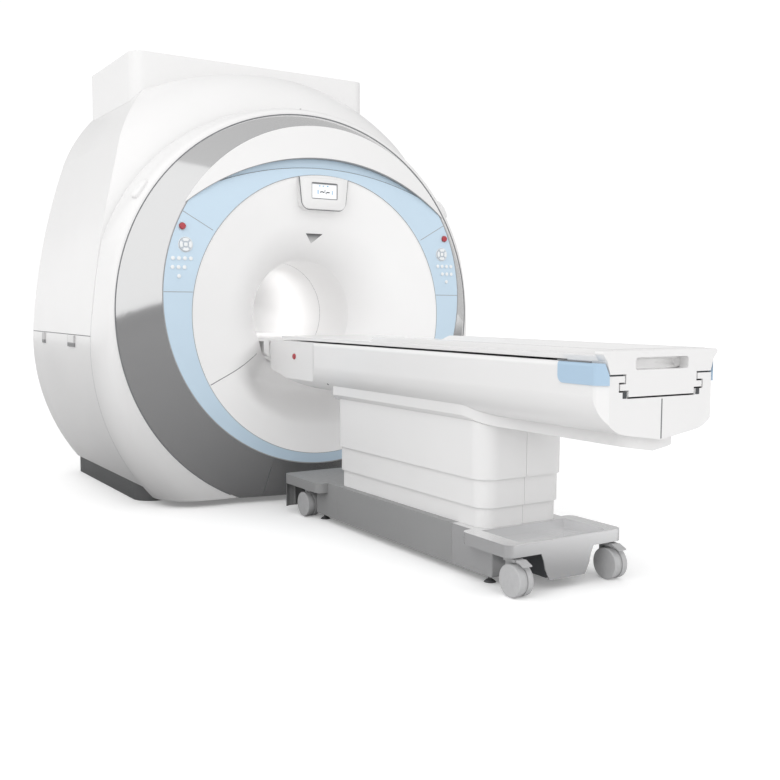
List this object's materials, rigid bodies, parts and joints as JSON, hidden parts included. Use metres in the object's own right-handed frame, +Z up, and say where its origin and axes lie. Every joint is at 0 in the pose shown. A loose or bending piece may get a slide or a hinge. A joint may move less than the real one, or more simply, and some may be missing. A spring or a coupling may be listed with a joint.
{
  "type": "mri scanner",
  "caption": "Magnetic resonance scanner: round tunnel in a white gantry with silver and pale blue rings, and a docked mobile patient table on a telescoping column with casters.",
  "frame": {"origin": "on the floor below the middle of the magnet, at the centre of the four floor anchors in the plinth's underside", "axes": "+Y along the patient tunnel into the magnet, away from the table; +Z up; +X to the right of someone at the table's foot who looks into the tunnel"},
  "size_m": [2.29, 4.11, 2.495],
  "materials": {
    "cover_white": "satin white lacquer on glass-fibre covers",
    "liner_white": "fine satin white",
    "table_white": "satin white lacquer",
    "skirt_white": "fine grained off-white",
    "panel_blue": "pale blue, satin",
    "silver_paint": "silver metallic paint, satin",
    "plinth_grey": "mid grey, matte",
    "vessel_metal": "painted vessel, seen nowhere from outside",
    "coil_resin": "cast resin",
    "latch_chrome": "light grey latch",
    "screen_glass": "lit display",
    "laser_glass": "dark window",
    "button_red": "red, glossy",
    "key_grey": "pale grey keypad",
    "frame_dark": "dark coat on welded frame",
    "column_steel": "ground steel",
    "base_grey": "grey metallic paint, satin",
    "base_silver": "silver metallic paint, satin",
    "caster_grey": "grey moulded housing",
    "wheel_grey": "grey moulded wheel",
    "foot_rubber": "black"
  },
  "bodies": {
    "gantry": {"magnet_vessel": "vessel_metal", "gradient_coil": "coil_resin", "body_coil": "coil_resin", "bore_liner": "liner_white", "patient_bridge": "liner_white", "plinth": "plinth_grey", "upper_cover": "cover_white", "lower_cover_left": "cover_white", "lower_cover_right": "cover_white", "rear_cover": "cover_white", "turret_cover": "cover_white", "cover_latches": "latch_chrome", "silver_ring": "silver_paint", "docking_panel": "silver_paint", "front_bezel": "cover_white", "bezel_knobs": "cover_white", "ring_top": "panel_blue", "ring_bottom": "panel_blue", "visor": "cover_white", "control_panel_left": "panel_blue", "control_panel_right": "panel_blue", "upper_funnel": "liner_white", "lower_funnel": "liner_white", "display_pod": "cover_white", "display_screen": "screen_glass", "laser_window": "laser_glass"},
    "table_base": {"table_chassis": "frame_dark", "base_front_cover": "base_grey", "base_rear_cover": "base_silver", "base_side_cover_left": "base_grey", "base_side_cover_right": "base_grey", "lower_skirt": "skirt_white", "lift_outer": "column_steel", "front_fork_left": "caster_grey", "front_fork_right": "caster_grey"},
    "table_lift": {"lift_inner": "column_steel", "upper_skirt": "skirt_white", "belly_pan": "table_white", "table_frame": "frame_dark", "table_cover_left": "table_white", "table_cover_right": "table_white", "bumper_left": "panel_blue", "bumper_right": "panel_blue"},
    "middle_tier": {"middle_skirt": "skirt_white"},
    "tabletop": {"tabletop": "table_white"},
    "feet": {"levelling_feet": "foot_rubber"},
    "stop_left": {"stop_button_left": "button_red"},
    "pad_left": {"direction_pad_left": "key_grey"},
    "nose_left": {"nose_button_left": "button_red"},
    "front_wheel_left": {"front_wheel_left": "wheel_grey"},
    "caster_left": {"caster_housing_left": "caster_grey"},
    "rear_wheel_left": {"rear_wheel_left": "wheel_grey"},
    "pedal_left": {"brake_pedal_left": "caster_grey"},
    "stop_right": {"stop_button_right": "button_red"},
    "pad_right": {"direction_pad_right": "key_grey"},
    "nose_right": {"nose_button_right": "button_red"},
    "front_wheel_right": {"front_wheel_right": "wheel_grey"},
    "caster_right": {"caster_housing_right": "caster_grey"},
    "rear_wheel_right": {"rear_wheel_right": "wheel_grey"},
    "pedal_right": {"brake_pedal_right": "caster_grey"}
  },
  "joints": [
    {"name": "undock", "type": "slide", "parent": "gantry", "child": "table_base", "axis": [0, 1, 0], "range_m": [-1, 0]},
    {"name": "table_height", "type": "slide", "parent": "table_base", "child": "table_lift", "axis": [0, 0, 1], "range_m": [-0.19, 0]},
    {"name": "middle_tier_height", "type": "slide", "parent": "table_base", "child": "middle_tier", "axis": [0, 0, 1], "range_m": [-0.07, 0]},
    {"name": "tabletop_travel", "type": "slide", "parent": "table_lift", "child": "tabletop", "axis": [0, 1, 0], "range_m": [0, 1.7]},
    {"name": "levelling_feet_height", "type": "slide", "parent": "table_base", "child": "feet", "axis": [0, 0, 1], "range_m": [0, 0.012]},
    {"name": "stop_press_left", "type": "slide", "parent": "gantry", "child": "stop_left", "axis": [0, 1, 0], "range_m": [0, 0.003], "stiffness_N_per_m": 1500},
    {"name": "pad_press_left", "type": "slide", "parent": "gantry", "child": "pad_left", "axis": [0, 1, 0], "range_m": [0, 0.002], "stiffness_N_per_m": 1500},
    {"name": "nose_press_left", "type": "slide", "parent": "table_lift", "child": "nose_left", "axis": [1, 0, 0], "range_m": [0, 0.003], "stiffness_N_per_m": 1200},
    {"name": "front_wheel_spin_left", "type": "hinge", "parent": "table_base", "child": "front_wheel_left", "pos_m": [-0.24, -1.327, 0.0625], "axis": [1, 0, 0], "continuous": true},
    {"name": "caster_swivel_left", "type": "hinge", "parent": "table_base", "child": "caster_left", "pos_m": [-0.24, -2.935, 0.17], "axis": [0, 0, 1], "continuous": true},
    {"name": "rear_wheel_spin_left", "type": "hinge", "parent": "caster_left", "child": "rear_wheel_left", "pos_m": [-0.24, -2.974, 0.0625], "axis": [1, 0, 0], "continuous": true},
    {"name": "brake_press_left", "type": "hinge", "parent": "caster_left", "child": "pedal_left", "pos_m": [-0.24, -2.994, 0.137], "axis": [1, 0, 0], "range_deg": [0, 12]},
    {"name": "stop_press_right", "type": "slide", "parent": "gantry", "child": "stop_right", "axis": [0, 1, 0], "range_m": [0, 0.003], "stiffness_N_per_m": 1500},
    {"name": "pad_press_right", "type": "slide", "parent": "gantry", "child": "pad_right", "axis": [0, 1, 0], "range_m": [0, 0.002], "stiffness_N_per_m": 1500},
    {"name": "nose_press_right", "type": "slide", "parent": "table_lift", "child": "nose_right", "axis": [-1, 0, 0], "range_m": [0, 0.003], "stiffness_N_per_m": 1200},
    {"name": "front_wheel_spin_right", "type": "hinge", "parent": "table_base", "child": "front_wheel_right", "pos_m": [0.24, -1.327, 0.0625], "axis": [1, 0, 0], "continuous": true},
    {"name": "caster_swivel_right", "type": "hinge", "parent": "table_base", "child": "caster_right", "pos_m": [0.24, -2.935, 0.17], "axis": [0, 0, 1], "continuous": true},
    {"name": "rear_wheel_spin_right", "type": "hinge", "parent": "caster_right", "child": "rear_wheel_right", "pos_m": [0.24, -2.974, 0.0625], "axis": [1, 0, 0], "continuous": true},
    {"name": "brake_press_right", "type": "hinge", "parent": "caster_right", "child": "pedal_right", "pos_m": [0.24, -2.994, 0.137], "axis": [1, 0, 0], "range_deg": [0, 12]}
  ],
  "couplings": [
    {"joint": "middle_tier_height", "follows": "table_height", "ratio": 0.368}
  ]
}
